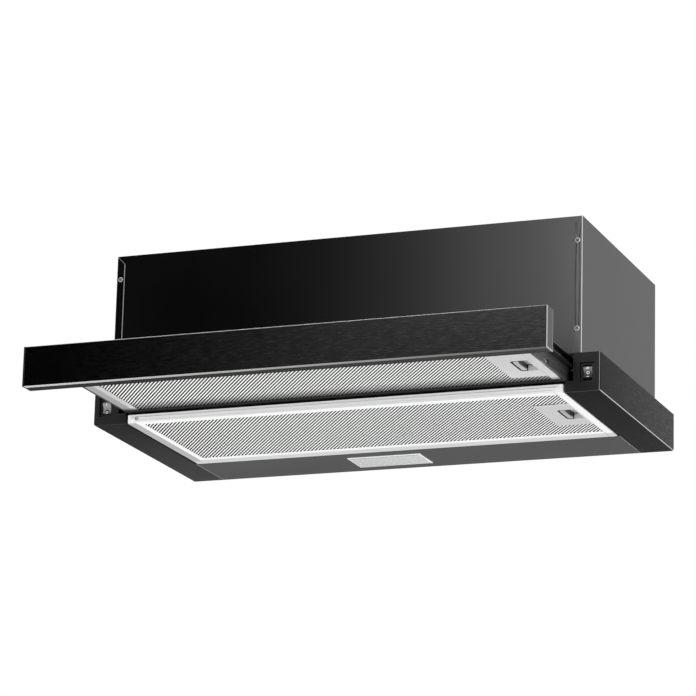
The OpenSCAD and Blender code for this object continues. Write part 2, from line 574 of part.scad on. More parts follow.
// ---------- electrics ----------
module terminal_box() {
  z1 = H - t - 0.05;
  color([0.25, 0.25, 0.26]) placed() difference() {
    bx([gland_x - 42, gland_y - 24, z1 - 34], [gland_x + 42, gland_y + 24, z1]);
    bx([gland_x - 40, gland_y - 22, z1 - 32], [gland_x + 40, gland_y + 22, z1 - 2]);
    cz(z1 - 3, z1 + 1, gland_x, gland_y, 8.1);
    // outlets of the inner wiring
    cz(z1 - 40, z1 - 30, gland_x + 30, gland_y + 5, 3);
    cz(z1 - 40, z1 - 30, gland_x - 30, gland_y + 5, 3);
    cz(z1 - 40, z1 - 30, gland_x, gland_y + 7, 3);
  }
}
module motor_capacitor() {
  color([0.8, 0.8, 0.78]) placed() {
    cz(120, 176, -150, housing_d - 22, 14);
    cy(housing_d - 9, housing_d - 0.1, -150, 150, 2);
    cy(housing_d - 8.5, housing_d - 2 * t - 0.1, -150, 150, 5);
    for (x = [-4, 4]) bx([-150 + x - 0.4, housing_d - 25, 175.9], [-150 + x + 0.4, housing_d - 19, 182]);
  }
}
module cable_gland() {
  color([0.08, 0.08, 0.08]) placed() difference() {
    union() {
      cz(H + 0.05, H + 3, gland_x, gland_y, 11);
      cz(H - 14, H + 0.1, gland_x, gland_y, 8);
      translate([gland_x, gland_y, H + 2.9]) cylinder(r1 = 8, r2 = 6.2, h = 7);
    }
    cz(H - 20, H + 20, gland_x, gland_y, 3.8);
  }
}
// a lead laid along straight runs, joined by ball elbows
module lead(pts, r = 1.7) {
  for (i = [0:len(pts) - 2]) {
    a = pts[i]; b = pts[i + 1]; v = b - a; L = norm(v);
    translate(a) rotate([0, acos(v[2] / L), atan2(v[1], v[0])]) cylinder(r = r, h = L, $fn = 24);
    if (i > 0) translate(a) sphere(r = r + 0.3, $fn = 24);
  }
}
module wiring_loom() {
  z1 = H - t - 0.05 - 33;
  color([0.85, 0.85, 0.86]) placed() {
    // to the two switches, down the sides and along the rails
    for (s = [-1, 1]) side(s)
      lead([[s * gland_x + 30, gland_y + 5, z1], [s * gland_x + 30, gland_y + 5, z1 - (s > 0 ? 20 : 54)],
            [275, 255, z1 - (s > 0 ? 20 : 54)], [275, 255, 20], [sw_x, 245, 20], [sw_x, 29.5, 20]]);
    // to the lamp
    lead([[gland_x, gland_y + 7, z1], [gland_x, gland_y + 7, 60], [lamp_x0 + 8, lamp_y1 - 8, 60], [lamp_x0 + 8, lamp_y1 - 8, 33]]);
  }
}

// ---------- blower ----------
function scroll_screws() = [for (sx = [-1, 1], sy = [-1, 1]) [sx * 71, duct_y + sy * 62]];
// spiral wall, angle measured from +y towards +z, growing round the underside
function spiral(a, g) = let (r = 54 + 20 * a / 240 + g) [sc_y + r * cos(120 + a), sc_z + r * sin(120 + a)];
module scroll_profile(g) {
  zt = H - t - 2.1;
  polygon(concat([for (a = [0:10:240]) spiral(a, g)],
    [[sc_y + 74 + g, zt + (g > 0 ? 0 : 5)], [duct_y - 62 - g, zt + (g > 0 ? 0 : 5)]]));
}
module scroll_shell(s) {
  zt = H - t - 2.1;
  color([0.2, 0.2, 0.21]) placed() side(s) difference() {
    union() {
      run_x(0.05, sc_w + 2) scroll_profile(2);
      // bell mouth
      cx(sc_w + 1.9, sc_w + 5, sc_y, sc_z, 46);
      // joint rib round the middle
      run_x(0.05, 3) scroll_profile(4);
      // top flange under the top panel
      bx([0.05, duct_y - 70, zt - 0.01], [sc_w + 14, duct_y + 70, H - t - 0.06]);
    }
    run_x(-1, sc_w) scroll_profile(0);
    cx(sc_w - 3, sc_w + 9, sc_y, sc_z, 42);
    cz(zt - 5, H, 0, duct_y, 56.5);
    for (p = scroll_screws()) cz(zt - 9, H + 9, abs(p[0]), p[1], 1.5);
    // motor bracket screws
    for (a = [30, 150, 270]) cx(sc_w - 3, sc_w + 9, sc_y + 52 * cos(a), sc_z + 52 * sin(a), 1.5);
  }
}
module left_scroll_shell() scroll_shell(-1);
module right_scroll_shell() scroll_shell(1);
module impeller() {
  r = impeller_r;
  color([0.75, 0.75, 0.74]) placed() difference() {
    union() {
      cx(-1.5, 1.5, sc_y, sc_z, r - 0.5);
      cx(-8, 12, sc_y, sc_z, 8);
      for (x = [-58, 55]) difference() { cx(x, x + 3, sc_y, sc_z, r); cx(x - 1, x + 4, sc_y, sc_z, r - 9); }
      for (i = [0:blade_count - 1]) translate([-57, sc_y, sc_z]) rotate([i * 360 / blade_count, 0, 0])
        translate([0, r - 8.6, -0.5]) rotate([24, 0, 0]) cube([114, 8, 1]);
    }
    cx(-20, 20, sc_y, sc_z, 3.05);
  }
}
module motor_body() {
  color([0.5, 0.5, 0.52]) placed() difference() {
    union() {
      cx(-62, -14, sc_y, sc_z, 31);
      cx(-14.1, -10, sc_y, sc_z, 9);
      cx(-66, -61.9, sc_y, sc_z, 12);
    }
    cx(-70, -5, sc_y, sc_z, 3.06);
    for (a = [30, 150, 270]) cx(-63, -55, sc_y + 22 * cos(a), sc_z + 22 * sin(a), 1.5);
  }
}
module motor_shaft() {
  color([0.8, 0.8, 0.82]) placed() cx(-64, 15, sc_y, sc_z, 3);
}
module motor_bracket() {
  color([0.6, 0.6, 0.62]) placed() difference() {
    union() {
      // ring on the scroll's bell mouth and three arms to the motor
      difference() { cx(-sc_w - 7.1, -sc_w - 5.1, sc_y, sc_z, 57); cx(-sc_w - 9, -sc_w - 3, sc_y, sc_z, 47); }
      for (a = [30, 150, 270]) translate([-sc_w - 7.1, sc_y, sc_z]) rotate([a, 0, 0]) translate([0, 15, -6]) cube([2, 35, 12]);
      difference() { cx(-sc_w - 7.1, -sc_w - 5.1, sc_y, sc_z, 28); cx(-sc_w - 9, -sc_w - 3, sc_y, sc_z, 14); }
      for (a = [30, 150, 270]) cx(-sc_w - 5.2, -62.1, sc_y + 22 * cos(a), sc_z + 22 * sin(a), 4);
      for (a = [30, 150, 270]) cx(-sc_w - 5.2, -sc_w - 2.1, sc_y + 52 * cos(a), sc_z + 52 * sin(a), 4);
    }
    for (a = [30, 150, 270]) { cx(-sc_w - 9, -60, sc_y + 22 * cos(a), sc_z + 22 * sin(a), 1.6); cx(-sc_w - 9, -60, sc_y + 52 * cos(a), sc_z + 52 * sin(a), 1.6); }
  }
}
module blower_screws() {
  color([0.75, 0.75, 0.77]) placed() {
    for (p = scroll_screws()) translate([p[0], p[1], H - t - 2.11]) rotate([90, 0, 0]) pan_screw(r = 1.4, len = 3, hr = 2.8, hh = 1.6);
    for (a = [30, 150, 270]) {
      translate([-sc_w - 7.1, sc_y + 52 * cos(a), sc_z + 52 * sin(a)]) rotate([0, 0, -90]) pan_screw(r = 1.4, len = 6.9, hr = 2.8, hh = 1.6);
      translate([-sc_w - 7.1, sc_y + 22 * cos(a), sc_z + 22 * sin(a)]) rotate([0, 0, -90]) pan_screw(r = 1.4, len = 13, hr = 2.8, hh = 1.6);
    }
    for (a = [45:90:315]) translate([68 * cos(a), duct_y + 68 * sin(a), H + 1.55]) rotate([-90, 0, 0]) pan_screw(r = 1.4, len = 2.4, hr = 2.8, hh = 1.6);
  }
}

// ---------- outlet ----------

module outlet_collar() {
  color([0.10, 0.10, 0.10]) placed() difference() {
    union() {
      cz(H + 0.05, H + 1.55, 0, duct_y, 75);
      cz(H + 0.05, H + 1.55 + duct_len, 0, duct_y, duct_r);
    }
    cz(H - 1, H + 3 + duct_len, 0, duct_y, duct_r - 2);
    for (a = [45:90:315]) cz(H - 3, H + 3, 68 * cos(a), duct_y + 68 * sin(a), 1.6);
    // seats of the damper pin
    cy(duct_y - duct_r + 0.8, duct_y + duct_r - 0.8, 0, H + flap_z, 1.55);
  }
  // ledge on which the flaps rest
  color([0.10, 0.10, 0.10]) placed() difference() {
    cz(H + 3.6, H + 5.4, 0, duct_y, duct_r - 1.9);
    cz(H + 3, H + 7, 0, duct_y, duct_r - 4.5);
  }
}
module damper_flap(s) {
  color([0.15, 0.15, 0.15]) placed() side(s) difference() {
    union() {
      intersection() {
        cz(H + 5.7, H + 6.9, 0, duct_y, duct_r - 2.4);
        bx([2.6, duct_y - 70, H + 5], [70, duct_y + 70, H + 7.5]);
      }
      // hinge knuckles round the pin, staggered between the two flaps
      for (k = s > 0 ? [-46, 2] : [-22, 26]) cy(duct_y + k, duct_y + k + 20, 0, H + flap_z, 2.6);
      for (k = s > 0 ? [-46, 2] : [-22, 26]) bx([0.2, duct_y + k, H + 5.7], [4, duct_y + k + 20, H + 6.9]);
    }
    cy(duct_y - 70, duct_y + 70, 0, H + flap_z, 1.56);
  }
}
module left_damper_flap() damper_flap(-1);
module right_damper_flap() damper_flap(1);
module damper_pin() {
  color([0.8, 0.8, 0.82]) placed() cy(duct_y - duct_r + 0.9, duct_y + duct_r - 0.9, 0, H + flap_z, 1.5);
}

top_panel();
front_panel();
rear_panel();
left_side_panel();
right_side_panel();
housing_screws();
left_base_rail();
right_base_rail();
rear_bottom_panel();
left_front_bracket();
right_front_bracket();
base_screws();
drawer_frame();
visor_panel();
left_visor_cap();
right_visor_cap();
visor_screws();
left_slide_outer();
right_slide_outer();
left_slide_inner();
right_slide_inner();
left_ball_cage();
right_ball_cage();
slide_screws();
drawer_slide_screws();
base_filter_frame();
base_filter_mesh();
base_latch_plate();
base_filter_latch();
base_latch_spring();
drawer_filter_frame();
drawer_filter_mesh();
drawer_latch_plate();
drawer_filter_latch();
drawer_latch_spring();
lamp_housing();
lamp_socket();
lamp_bulb();
lamp_lens();
light_switch_body();
light_rocker();
fan_switch_body();
fan_rocker();
drawer_microswitch();
microswitch_plunger();
terminal_box();
motor_capacitor();
cable_gland();
wiring_loom();
left_scroll_shell();
right_scroll_shell();
impeller();
motor_body();
motor_shaft();
motor_bracket();
blower_screws();
outlet_collar();
left_damper_flap();
right_damper_flap();
damper_pin();
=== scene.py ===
import math

import bmesh
import bpy
import json
from mathutils import Matrix, Vector


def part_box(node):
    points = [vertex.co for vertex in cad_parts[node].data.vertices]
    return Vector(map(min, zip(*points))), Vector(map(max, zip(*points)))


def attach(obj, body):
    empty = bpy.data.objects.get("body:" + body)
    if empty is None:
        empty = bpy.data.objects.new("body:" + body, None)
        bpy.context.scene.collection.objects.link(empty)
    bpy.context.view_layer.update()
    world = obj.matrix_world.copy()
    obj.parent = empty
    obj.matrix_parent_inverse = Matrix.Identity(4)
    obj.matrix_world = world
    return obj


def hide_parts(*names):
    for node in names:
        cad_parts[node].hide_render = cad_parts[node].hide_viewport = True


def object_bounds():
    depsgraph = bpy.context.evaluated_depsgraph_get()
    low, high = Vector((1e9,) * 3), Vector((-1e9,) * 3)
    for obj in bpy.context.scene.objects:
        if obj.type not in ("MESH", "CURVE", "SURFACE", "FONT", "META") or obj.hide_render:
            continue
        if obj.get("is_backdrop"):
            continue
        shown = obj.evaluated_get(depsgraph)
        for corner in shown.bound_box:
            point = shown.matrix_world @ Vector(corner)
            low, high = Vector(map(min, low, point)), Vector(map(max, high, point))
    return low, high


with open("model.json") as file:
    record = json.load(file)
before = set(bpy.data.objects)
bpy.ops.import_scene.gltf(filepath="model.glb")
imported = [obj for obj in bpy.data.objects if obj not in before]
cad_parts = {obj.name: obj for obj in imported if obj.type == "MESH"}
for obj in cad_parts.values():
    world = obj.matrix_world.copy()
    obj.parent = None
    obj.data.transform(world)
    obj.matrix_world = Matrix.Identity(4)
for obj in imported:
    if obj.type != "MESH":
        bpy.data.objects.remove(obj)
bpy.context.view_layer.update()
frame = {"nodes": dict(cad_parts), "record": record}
N = frame["nodes"]

# ---------------------------------------------------------------- camera
AZ, EL, ROLL = math.radians(21.46), math.radians(-15.35), math.radians(1.51)
back = Vector((math.sin(AZ) * math.cos(EL), -math.cos(AZ) * math.cos(EL), math.sin(EL)))
right = (-back).cross(Vector((0, 0, 1))).normalized()
upv = right.cross(-back)
r2 = right * math.cos(ROLL) + upv * math.sin(ROLL)
u2 = upv * math.cos(ROLL) - right * math.sin(ROLL)
cam_data = bpy.data.cameras.new("camera")
cam_data.sensor_width = 36
cam_data.lens = 186.26
cam_data.clip_end = 200
cam = bpy.data.objects.new("camera", cam_data)
bpy.context.scene.collection.objects.link(cam)
eye = back * 4.078 + r2 * -0.0291 + u2 * 0.0148 + Vector((0, -0.040, -0.118))
m = Matrix((r2, u2, back)).transposed().to_4x4()
m.translation = eye
cam.matrix_world = m
bpy.context.scene.camera = cam
bpy.context.scene.view_settings.view_transform = "Standard"
bpy.context.scene.view_settings.look = "None"

# ---------------------------------------------------------------- materials


class Mat:
    """A node material on the Principled shader, with small helpers."""

    def __init__(self, name, metallic=0.0, spec=0.5, ior=1.5, coat=0.0, coat_rough=0.1, aniso=0.0):
        self.m = bpy.data.materials.new(name)
        self.m.use_nodes = True
        self.t = self.m.node_tree
        self.b = self.t.nodes["Principled BSDF"]
        self.b.inputs["Metallic"].default_value = metallic
        self.b.inputs["Specular IOR Level"].default_value = spec
        self.b.inputs["IOR"].default_value = ior
        self.b.inputs["Coat Weight"].default_value = coat
        self.b.inputs["Coat Roughness"].default_value = coat_rough
        self.b.inputs["Anisotropic"].default_value = aniso
        self.tc = self.t.nodes.new("ShaderNodeTexCoord")

    def node(self, kind):
        return self.t.nodes.new(kind)

    def link(self, a, b):
        self.t.links.new(a, b)

    def noise(self, scale, detail=3.0, rough=0.55, distort=0.0):
        """Noise over the piece's own coordinates in metres, scaled per axis."""
        mp = self.node("ShaderNodeMapping")
        self.link(self.tc.outputs["Object"], mp.inputs["Vector"])
        mp.inputs["Scale"].default_value = scale
        n = self.node("ShaderNodeTexNoise")
        n.inputs["Scale"].default_value = 1.0
        n.inputs["Detail"].default_value = detail
        n.inputs["Roughness"].default_value = rough
        n.inputs["Distortion"].default_value = distort
        self.link(mp.outputs["Vector"], n.inputs["Vector"])
        return n.outputs["Fac"]

    def ramp(self, fac, stops):
        r = self.node("ShaderNodeValToRGB")
        self.link(fac, r.inputs["Fac"])
        el = r.color_ramp.elements
        while len(el) < len(stops):
            el.new(0.5)
        for e, (p, c) in zip(el, stops):
            e.position = p
            e.color = (c, c, c, 1) if isinstance(c, (int, float)) else (*c, 1)
        return r.outputs["Color"]

    def color(self, fac, stops):
        self.link(self.ramp(fac, stops), self.b.inputs["Base Color"])
        return self

    def rough(self, fac, lo, hi, p0=0.3, p1=0.7):
        mr = self.node("ShaderNodeMapRange")
        mr.inputs["From Min"].default_value = p0
        mr.inputs["From Max"].default_value = p1
        mr.inputs["To Min"].default_value = lo
        mr.inputs["To Max"].default_value = hi
        self.link(fac, mr.inputs["Value"])
        self.link(mr.outputs["Result"], self.b.inputs["Roughness"])
        return self

    def xyz(self):
        sep = self.node("ShaderNodeSeparateXYZ")
        self.link(self.tc.outputs["Object"], sep.inputs[0])
        return sep.outputs

    def math(self, op, a, b=None, c=None):
        n = self.node("ShaderNodeMath")
        n.operation = op
        for i, v in enumerate((a, b, c)):
            if v is None:
                continue
            if isinstance(v, (int, float)):
                n.inputs[i].default_value = v
            else:
                self.link(v, n.inputs[i])
        return n.outputs[0]

    def ease(self, v, a, b, x, y):
        """Value v from a to b mapped smoothly to x to y."""
        mr = self.node("ShaderNodeMapRange")
        for k, q in zip(("From Min", "From Max", "To Min", "To Max"), (a, b, x, y)):
            mr.inputs[k].default_value = q
        self.link(v, mr.inputs["Value"])
        return mr.outputs["Result"]

    def over(self, mask, tone):
        """Lay one grey tone over the base colour where mask is 1."""
        mx = self.node("ShaderNodeMix")
        mx.data_type = "RGBA"
        self.link(mask, mx.inputs["Factor"])
        old = self.b.inputs["Base Color"].links[0].from_socket
        self.link(old, mx.inputs["A"])
        mx.inputs["B"].default_value = (tone, tone, tone, 1)
        self.link(mx.outputs["Result"], self.b.inputs["Base Color"])
        return self

    def line(self, tone, *conds):
        """One grey tone where every (value, "<" or ">", limit) holds."""
        mask = None
        for v, op, lim in conds:
            c = self.math("LESS_THAN" if op == "<" else "GREATER_THAN", v, lim)
            mask = c if mask is None else self.math("MULTIPLY", mask, c)
        return self.over(mask, tone)

    def bump(self, fac, strength, dist):
        bp = self.node("ShaderNodeBump")
        bp.inputs["Strength"].default_value = strength
        bp.inputs["Distance"].default_value = dist
        self.link(fac, bp.inputs["Height"])
        self.link(bp.outputs["Normal"], self.b.inputs["Normal"])
        return self


def painted(name, lo, hi, r0, r1, spec=0.5, peel=0.05, coat=0.0, tint=(1, 1, 1.03), raw=False):
    """Sheet steel with a coat of paint: a faint orange peel and cloudy gloss."""
    q = Mat(name, spec=spec, coat=coat, coat_rough=0.05)
    big = q.noise((9, 9, 9), 4)
    q.color(big, [(0.3, tuple(lo * c for c in tint)), (0.7, tuple(hi * c for c in tint))])
    q.rough(big, r0, r1)
    q.bump(q.noise((420, 420, 420), 2), peel, 0.0002)
    return q if raw else q.m


def brushed(name, axis, stops, r0, r1, metallic=0.0, spec=0.5, bump=0.25, aniso=0.0, fine=1500.0, run=14.0, along=None, shade_zones=None, raw=False):
    """Brushed sheet: streaks that run along one axis, long ones over fine ones.
    along = (axis, from, to, gain at from, gain at to) fades the tone over the sheet, a painted light gradient;
    shade_zones = [(axis, limit, gain), ...] sets the tone beyond each limit, painted shade on parts that fall in
    shade."""
    q = Mat(name, metallic=metallic, spec=spec, aniso=aniso)
    s1 = [fine] * 3
    s1[axis] = run
    s2 = [fine * 0.36] * 3
    s2[axis] = run * 0.45
    a = q.noise(tuple(s1), 3, 0.7)
    b = q.noise(tuple(s2), 2, 0.6)
    mix = q.node("ShaderNodeMath")
    mix.operation = "MULTIPLY_ADD"
    mix.inputs[1].default_value = 0.6
    q.link(a, mix.inputs[0])
    half = q.node("ShaderNodeMath")
    half.operation = "MULTIPLY"
    half.inputs[1].default_value = 0.4
    q.link(b, half.inputs[0])
    q.link(half.outputs[0], mix.inputs[2])
    fac = mix.outputs[0]
    if along or shade_zones:
        col = q.ramp(fac, stops)
        sep = q.node("ShaderNodeSeparateXYZ")
        q.link(q.tc.outputs["Object"], sep.inputs[0])
        gain = None
        if along:
            mr = q.node("ShaderNodeMapRange")
            for k, v in zip(("From Min", "From Max", "To Min", "To Max"), along[1:]):
                mr.inputs[k].default_value = v
            q.link(sep.outputs[along[0]], mr.inputs["Value"])
            gain = mr.outputs["Result"]
        for ax, lim, g in shade_zones or []:
            cmp = q.node("ShaderNodeMath")
            cmp.operation = "GREATER_THAN" if lim > 0 else "LESS_THAN"
            cmp.inputs[1].default_value = lim
            q.link(sep.outputs[ax], cmp.inputs[0])
            mr = q.node("ShaderNodeMapRange")
            mr.inputs["To Min"].default_value = 1.0
            mr.inputs["To Max"].default_value = g
            q.link(cmp.outputs[0], mr.inputs["Value"])
            if gain is None:
                gain = mr.outputs["Result"]
            else:
                mu = q.node("ShaderNodeMath")
                mu.operation = "MULTIPLY"
                q.link(gain, mu.inputs[0])
                q.link(mr.outputs["Result"], mu.inputs[1])
                gain = mu.outputs[0]
        vm = q.node("ShaderNodeVectorMath")
        vm.operation = "SCALE"
        q.link(col, vm.inputs[0])
        q.link(gain, vm.inputs["Scale"])
        q.link(vm.outputs[0], q.b.inputs["Base Color"])
    else:
        q.color(fac, stops)
    q.rough(fac, r0, r1, 0.35, 0.65)
    q.bump(fac, bump, 0.0001)
    return q if raw else q.m


def plastic(name, lo, hi, r0, r1, spec=0.5, grain=1800.0, bump=0.15, tint=(1, 1, 1), raw=False):
    """Moulded plastic with a spark-eroded grain."""
    q = Mat(name, spec=spec)
    g = q.noise((grain, grain, grain), 2, 0.6)
    c = q.noise((14, 14, 14), 3)
    q.color(c, [(0.3, tuple(lo * k for k in tint)), (0.7, tuple(hi * k for k in tint))])
    q.rough(g, r0, r1)
    q.bump(g, bump, 0.0001)
    return q if raw else q.m


def metal(name, lo, hi, r0, r1, tint=(1, 1, 1), scale=60.0, bump=0.04, aniso=0.0, metallic=1.0, raw=False):
    """Bare or plated metal with cloudy handling marks."""
    q = Mat(name, metallic=metallic, aniso=aniso)
    c = q.noise((scale, scale, scale), 5, 0.6)
    q.color(c, [(0.3, tuple(lo * k for k in tint)), (0.7, tuple(hi * k for k in tint))])
    q.rough(c, r0, r1)
    q.bump(q.noise((900, 900, 900), 2), bump, 0.0001)
    return q if raw else q.m


def mesh_metal(name, lo, hi, metallic, crest=None, shade_edge=None):
    """Slit and stretched foil: bright, with small cloudy changes of gloss.
    crest is the height of the lower sheet's crests: above it the roots are painted near black, painted shade.
    shade_edge = (y unshaded, y dark, tone) darkens it towards one edge: painted shade."""
    q = Mat(name, metallic=metallic, spec=0.15)
    c = q.noise((160, 160, 160), 4, 0.6)
    q.color(c, [(0.3, lo), (0.7, hi)])
    q.rough(c, 0.30, 0.42)
    q.bump(q.noise((900, 900, 900), 2), 0.03, 0.0001)
    if crest is not None:
        # painted shade: near black just above the crests, where the roots and bridges sit
        z = q.xyz()[2]
        q.over(q.math("MULTIPLY", q.ease(z, crest + 0.0001, crest + 0.00028, 0.0, 1.0), q.math("LESS_THAN", z, crest + 0.003)), 0.008)
    # painted shade towards one edge
    if shade_edge:
        q.over(q.ease(q.xyz()[1], shade_edge[0], shade_edge[1], 0.0, 1.0), shade_edge[2])
    return q.m


X, Y, Z = 0, 1, 2
MAT = {
    "housing_black": painted("housing_black", 0.0035, 0.0045, 0.10, 0.13, spec=0.55, peel=0.02),
    # base_black: the tone grows towards the back, a painted light gradient
    "base_black": brushed("base_black", Y, [(0.3, 0.008), (0.5, 0.013), (0.62, 0.020), (0.75, 0.032)], 0.36, 0.46, spec=0.08, bump=0.15, fine=2600, run=140, along=(Y, -0.14, 0.145, 0.3, 3.0)),
    "inner_steel": painted("inner_steel", 0.052, 0.062, 0.42, 0.5, spec=0.25, peel=0.06),
    "visor_black": brushed("visor_black", X, [(0.3, 0.003), (0.5, 0.005), (0.64, 0.009), (0.78, 0.022)], 0.14, 0.24, spec=0.5, bump=0.12, fine=2600, run=12),
    "cap_grey": plastic("cap_grey", 0.045, 0.055, 0.4, 0.5, bump=0.08),
    "bracket_black": plastic("bracket_black", 0.013, 0.016, 0.34, 0.42, spec=0.2),
    "rocker_black": plastic("rocker_black", 0.008, 0.011, 0.2, 0.28, grain=900, bump=0.04),
    "drawer_steel": painted("drawer_steel", 0.05, 0.06, 0.35, 0.42, spec=0.45, peel=0.05),
    "slide_steel": metal("slide_steel", 0.42, 0.55, 0.3, 0.42),
    "slide_black": painted("slide_black", 0.006, 0.009, 0.3, 0.4, peel=0.06),
    "cage_steel": metal("cage_steel", 0.5, 0.62, 0.22, 0.32),
    "screw_steel": metal("screw_steel", 0.30, 0.42, 0.30, 0.40, scale=300),
    "black_screw": painted("black_screw", 0.01, 0.02, 0.3, 0.4),
    # filter_aluminium: the end strips beyond x = 0.262 and x = -0.262 are darker, painted shade
    "filter_aluminium": brushed("filter_aluminium", X, [(0.3, 0.74), (0.5, 0.79), (0.7, 0.84)], 0.36, 0.46, metallic=0.3, bump=0.04, fine=700, run=20, shade_zones=[(X, 0.262, 0.50), (X, -0.262, 0.64)]),
    "mesh_aluminium": mesh_metal("mesh_aluminium", 0.86, 0.94, 0.4),
    "latch_metal": metal("latch_metal", 0.55, 0.68, 0.3, 0.4, scale=120),
    "spring_steel": metal("spring_steel", 0.55, 0.65, 0.2, 0.3),
    "lamp_white": painted("lamp_white", 0.72, 0.78, 0.35, 0.42),
    "socket_white": plastic("socket_white", 0.72, 0.78, 0.25, 0.35),
    "bulb_glass": plastic("bulb_glass", 0.80, 0.86, 0.18, 0.24, grain=400, bump=0.02, tint=(1, 0.99, 0.95)),
    "lens_plastic": plastic("lens_plastic", 0.58, 0.64, 0.22, 0.3, grain=700, bump=0.12, tint=(0.98, 1, 0.99)),
    "switch_black": plastic("switch_black", 0.004, 0.006, 0.35, 0.45),
    "plunger_red": plastic("plunger_red", 0.5, 0.56, 0.25, 0.3, tint=(1, 0.1, 0.08)),
    "box_grey": plastic("box_grey", 0.03, 0.036, 0.4, 0.5),
    "capacitor_white": plastic("capacitor_white", 0.6, 0.66, 0.25, 0.35),
    "gland_black": plastic("gland_black", 0.008, 0.011, 0.5, 0.6),
    "wire_grey": plastic("wire_grey", 0.45, 0.5, 0.35, 0.45),
    "scroll_steel": metal("scroll_steel", 0.40, 0.58, 0.28, 0.45, scale=45),
    "impeller_white": plastic("impeller_white", 0.5, 0.56, 0.35, 0.45),
    "motor_grey": painted("motor_grey", 0.06, 0.075, 0.35, 0.45),
    "shaft_steel": metal("shaft_steel", 0.6, 0.7, 0.12, 0.2),
    "collar_black": plastic("collar_black", 0.010, 0.013, 0.35, 0.45),
    "flap_black": plastic("flap_black", 0.012, 0.016, 0.4, 0.5),
    "mark_white": plastic("mark_white", 0.75, 0.8, 0.3, 0.4, grain=900, bump=0.02),
    # mesh_dark: near black, painted shade, used for the pads' inner folded sheet
    "mesh_dark": metal("mesh_dark", 0.015, 0.03, 0.5, 0.6, scale=120),
}
# the visor: painted highlight lines along the top edge and below the front edge, fading towards the right, a flat dark
# tone on the rest of the underside, and a painted reflection from black at the left to grey at the right
q = brushed("visor_sheet", X, [(0.38, 0.0005), (0.48, 0.003), (0.57, 0.020), (0.68, 0.06)], 0.14, 0.22, spec=0.45, bump=0.10, fine=2800, run=150, along=(X, -0.27, 0.28, 0.02, 0.9), raw=True)
lo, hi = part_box("visor_panel")
o3 = q.xyz()
fade = q.ease(o3[0], -0.30, 0.29, 1.0, 0.12)
near = q.math("LESS_THAN", o3[1], lo.y + 0.0012)
q.over(q.math("MULTIPLY", q.math("MULTIPLY", q.math("GREATER_THAN", o3[2], hi.z - 0.0007), near), fade), 0.50)
q.over(q.math("LESS_THAN", o3[2], lo.z + 0.0005), 0.015)
q.over(q.math("MULTIPLY", q.math("MULTIPLY", q.math("LESS_THAN", o3[2], lo.z + 0.0003), q.math("LESS_THAN", o3[1], lo.y + 0.0060)), fade), 0.62)
MAT["visor_sheet"] = q.m
# the right rail: a painted highlight line along its rounded lower edge, a painted shade line along its inner lower
# edge with a painted highlight at its rear, and painted light that grows towards the back and is dimmer at its bottom
q = brushed("rail_right", Y, [(0.38, 0.008), (0.5, 0.013), (0.60, 0.026), (0.70, 0.045)], 0.36, 0.46, spec=0.03, bump=0.10, fine=2600, run=140, along=(Y, -0.14, 0.145, 1.1, 4.0), shade_zones=[(Z, -0.1975, 0.32)], raw=True)
lo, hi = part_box("right_base_rail")
o3 = q.xyz()
q.line(0.55, (o3[0], ">", hi.x - 0.0009), (o3[2], "<", lo.z + 0.0009))
q.line(0.001, (o3[0], "<", lo.x + 0.0012), (o3[2], "<", lo.z + 0.0006))
q.line(0.40, (o3[0], "<", lo.x + 0.0006), (o3[2], "<", lo.z + 0.0006), (o3[1], ">", 0.0625))
MAT["rail_right"] = q.m
# the left rail: a painted shade line along its inner lower edge with a painted highlight at its rear, and painted
# light that grows towards the back
q = brushed("rail_left", Y, [(0.3, 0.008), (0.5, 0.013), (0.62, 0.020), (0.75, 0.032)], 0.36, 0.46, spec=0.08, bump=0.15, fine=2600, run=140, along=(Y, -0.14, 0.145, 0.3, 3.0), raw=True)
lo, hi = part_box("left_base_rail")
o3 = q.xyz()
q.line(0.001, (o3[0], ">", hi.x - 0.0013), (o3[2], "<", lo.z + 0.0006))
q.line(0.40, (o3[0], ">", hi.x - 0.0006), (o3[2], "<", lo.z + 0.0006), (o3[1], ">", 0.0625))
MAT["rail_left"] = q.m
# the right front bracket: a painted highlight line down its right front edge
q = plastic("bracket_edge", 0.012, 0.015, 0.34, 0.42, spec=0.2, raw=True)
lo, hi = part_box("right_front_bracket")
o3 = q.xyz()
q.line(0.20, (o3[0], ">", hi.x - 0.0006), (o3[1], "<", lo.y + 0.0006))
MAT["bracket_edge"] = q.m
# the side panels: painted highlight lines on the bend at the right and on the flanges' edges, and a painted reflection
# lightening the right flange's front face
q = painted("side_right", 0.0035, 0.0045, 0.10, 0.13, spec=0.55, peel=0.02, raw=True)
lo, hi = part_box("right_side_panel")
o3 = q.xyz()
q.line(0.035, (o3[1], "<", lo.y + 0.0003), (o3[0], "<", hi.x - 0.0008))
q.line(0.75, (o3[0], ">", hi.x - 0.0007), (o3[1], "<", lo.y + 0.0007))
q.line(0.12, (o3[0], "<", hi.x - 0.0090), (o3[1], "<", lo.y + 0.0011))
MAT["side_right"] = q.m
q = painted("side_left", 0.0035, 0.0045, 0.10, 0.13, spec=0.55, peel=0.02, raw=True)
lo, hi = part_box("left_side_panel")
o3 = q.xyz()
q.line(0.40, (o3[0], ">", lo.x + 0.0090), (o3[1], "<", lo.y + 0.0011))
cutline = q.math("ADD", q.math("SUBTRACT", o3[0], lo.x), o3[2])
q.line(0.22, (cutline, ">", -0.0007), (o3[1], "<", lo.y + 0.0011))
MAT["side_left"] = q.m
